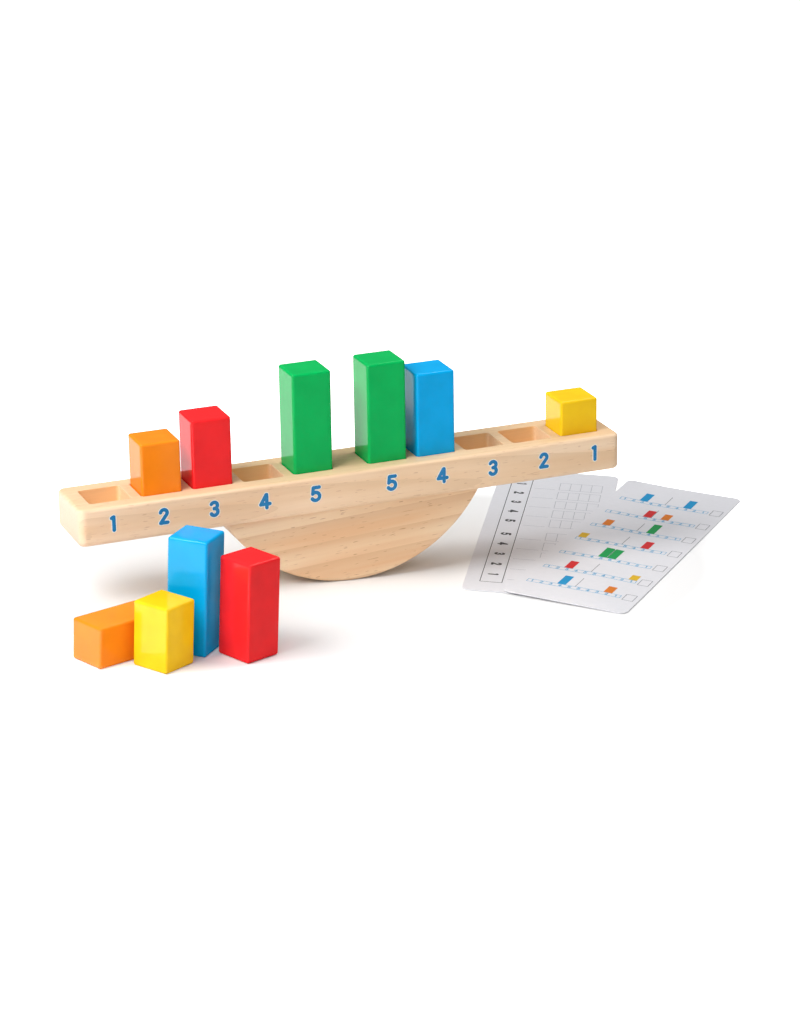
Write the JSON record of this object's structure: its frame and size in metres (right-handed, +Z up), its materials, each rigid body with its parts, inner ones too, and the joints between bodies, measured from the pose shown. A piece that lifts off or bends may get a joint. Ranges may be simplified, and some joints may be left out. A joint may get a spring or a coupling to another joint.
{
  "type": "stacking balance game",
  "caption": "Wooden balance beam with square pockets on a half-round rocker, painted square blocks of stepped heights, and two laminated puzzle cards.",
  "frame": {"origin": "centre of the set's outline on the table", "axes": "+X along the beam to its right end, +Y away from the side with the numbers, +Z up from the table"},
  "size_m": [0.629, 0.3662, 0.1701],
  "materials": {
    "beam_pine": "satin clear lacquer on pine",
    "rocker_pine": "satin clear lacquer on pine",
    "dowel_beech": "bare beech",
    "yellow_paint": "gloss paint on wood",
    "orange_paint": "gloss paint on wood",
    "red_paint": "gloss paint on wood",
    "blue_paint": "gloss paint on wood",
    "green_paint": "gloss paint on wood",
    "card_laminate": "printed card in clear laminate"
  },
  "bodies": {
    "record_card": {"record_card": "card_laminate"},
    "balance": {"balance_beam": "beam_pine", "rocker": "rocker_pine", "front_dowel": "dowel_beech", "rear_dowel": "dowel_beech"},
    "orange_block_seated": {"orange_block_seated": "orange_paint"},
    "red_block_seated": {"red_block_seated": "red_paint"},
    "green_block_left": {"green_block_left": "green_paint"},
    "green_block_right": {"green_block_right": "green_paint"},
    "blue_block_seated": {"blue_block_seated": "blue_paint"},
    "yellow_block_seated": {"yellow_block_seated": "yellow_paint"},
    "orange_block_loose": {"orange_block_loose": "orange_paint"},
    "yellow_block_loose": {"yellow_block_loose": "yellow_paint"},
    "blue_block_loose": {"blue_block_loose": "blue_paint"},
    "red_block_loose": {"red_block_loose": "red_paint"},
    "combination_card": {"combination_card": "card_laminate"}
  },
  "joints": [
    {"name": "beam_rock", "type": "hinge", "parent": "record_card", "child": "balance", "pos_m": [-0.06811, -0.01555, 0.1184], "axis": [0, 1, 0], "range_deg": [-13.8, 19.5]},
    {"name": "orange_seated_lift", "type": "slide", "parent": "balance", "child": "orange_block_seated", "axis": [-0.0546, 0, 0.9985], "range_m": [0, 0.08]},
    {"name": "red_seated_lift", "type": "slide", "parent": "balance", "child": "red_block_seated", "axis": [-0.0546, 0, 0.9985], "range_m": [0, 0.08]},
    {"name": "green_left_lift", "type": "slide", "parent": "balance", "child": "green_block_left", "axis": [-0.0546, 0, 0.9985], "range_m": [0, 0.08]},
    {"name": "green_right_lift", "type": "slide", "parent": "balance", "child": "green_block_right", "axis": [-0.0546, 0, 0.9985], "range_m": [0, 0.08]},
    {"name": "blue_seated_lift", "type": "slide", "parent": "balance", "child": "blue_block_seated", "axis": [-0.0546, 0, 0.9985], "range_m": [0, 0.08]},
    {"name": "yellow_seated_lift", "type": "slide", "parent": "balance", "child": "yellow_block_seated", "axis": [-0.0546, 0, 0.9985], "range_m": [0, 0.08]},
    {"name": "orange_loose_lift", "type": "slide", "parent": "record_card", "child": "orange_block_loose", "axis": [0, 0, 1], "range_m": [0, 0.08]},
    {"name": "yellow_loose_lift", "type": "slide", "parent": "record_card", "child": "yellow_block_loose", "axis": [0, 0, 1], "range_m": [0, 0.08]},
    {"name": "blue_loose_lift", "type": "slide", "parent": "record_card", "child": "blue_block_loose", "axis": [0, 0, 1], "range_m": [0, 0.08]},
    {"name": "red_loose_lift", "type": "slide", "parent": "record_card", "child": "red_block_loose", "axis": [0, 0, 1], "range_m": [0, 0.08]},
    {"name": "combination_card_slide", "type": "slide", "parent": "record_card", "child": "combination_card", "axis": [0.7193, -0.6947, 0], "range_m": [0, 0.12]}
  ]
}
